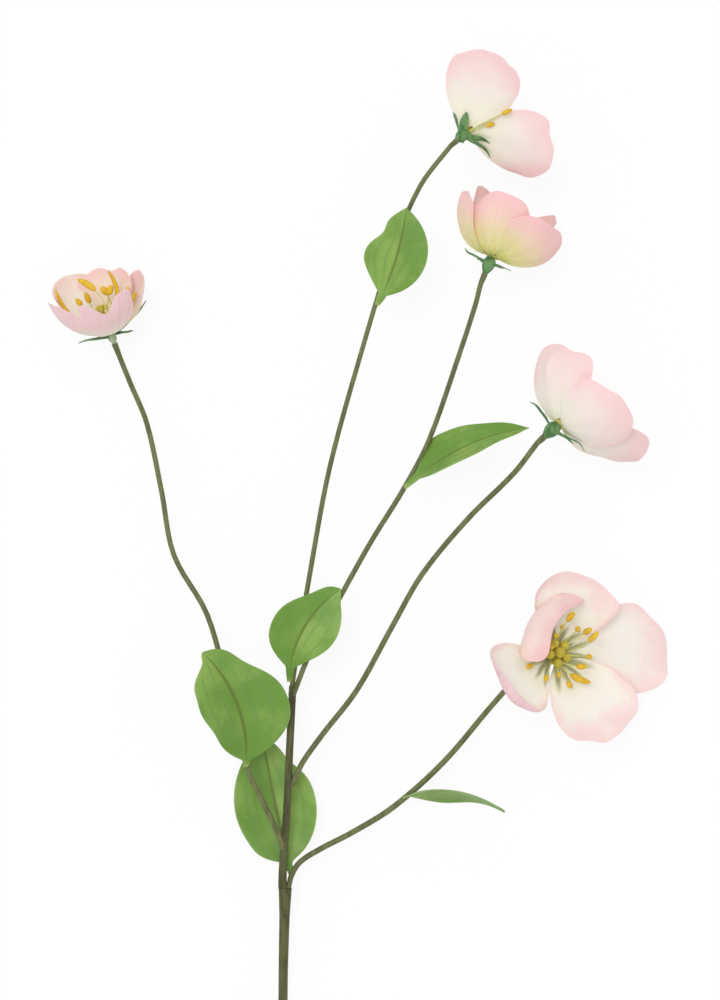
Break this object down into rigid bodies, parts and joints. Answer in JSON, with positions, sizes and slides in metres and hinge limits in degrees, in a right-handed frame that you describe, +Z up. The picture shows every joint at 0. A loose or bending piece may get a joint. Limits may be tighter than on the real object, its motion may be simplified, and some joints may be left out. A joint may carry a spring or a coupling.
{
  "type": "flower spray",
  "caption": "Cut, branching stem with open cup-shaped blossoms, yellow stamens and oval leaves, lying flat on its back.",
  "frame": {"origin": "under the middle of the whole spray, on the surface that it lies on", "axes": "+Y along the main stem from its cut end towards the flowers, +Z up from the surface, +X towards the side of the widest open flower"},
  "size_m": [0.3108, 0.5486, 0.0666],
  "materials": {
    "petal": "matt",
    "stamen": "matt",
    "pistil": "matt",
    "calyx": "matt",
    "leaf": "satin",
    "stem": "matt"
  },
  "bodies": {
    "root": {"flower_a_calyx": "calyx", "flower_a_petal_1": "petal", "flower_a_petal_2": "petal", "flower_a_petal_3": "petal", "flower_a_petal_4": "petal", "flower_a_petal_5": "petal", "flower_a_pistil": "pistil", "flower_a_stamens": "stamen", "flower_b_calyx": "calyx", "flower_b_petal_1": "petal", "flower_b_petal_2": "petal", "flower_b_petal_3": "petal", "flower_b_petal_4": "petal", "flower_b_petal_5": "petal", "flower_b_pistil": "pistil", "flower_b_stamens": "stamen", "flower_c_calyx": "calyx", "flower_c_petal_1": "petal", "flower_c_petal_2": "petal", "flower_c_petal_3": "petal", "flower_c_petal_4": "petal", "flower_c_petal_5": "petal", "flower_c_pistil": "pistil", "flower_c_stamens": "stamen", "flower_d_calyx": "calyx", "flower_d_petal_1": "petal", "flower_d_petal_2": "petal", "flower_d_petal_3": "petal", "flower_d_petal_4": "petal", "flower_d_petal_5": "petal", "flower_d_pistil": "pistil", "flower_d_stamens": "stamen", "flower_e_calyx": "calyx", "flower_e_petal_1": "petal", "flower_e_petal_2": "petal", "flower_e_petal_3": "petal", "flower_e_petal_4": "petal", "flower_e_petal_5": "petal", "flower_e_pistil": "pistil", "flower_e_stamens": "stamen", "leaf_1": "leaf", "leaf_2": "leaf", "leaf_3": "leaf", "leaf_4": "leaf", "leaf_5": "leaf", "leaf_6": "leaf", "stem_flower_a": "stem", "stem_flower_b": "stem", "stem_flower_c": "stem", "stem_flower_d": "stem", "stem_flower_e": "stem", "stem_main_lower": "stem", "stem_main_upper": "stem"}
  },
  "joints": []
}
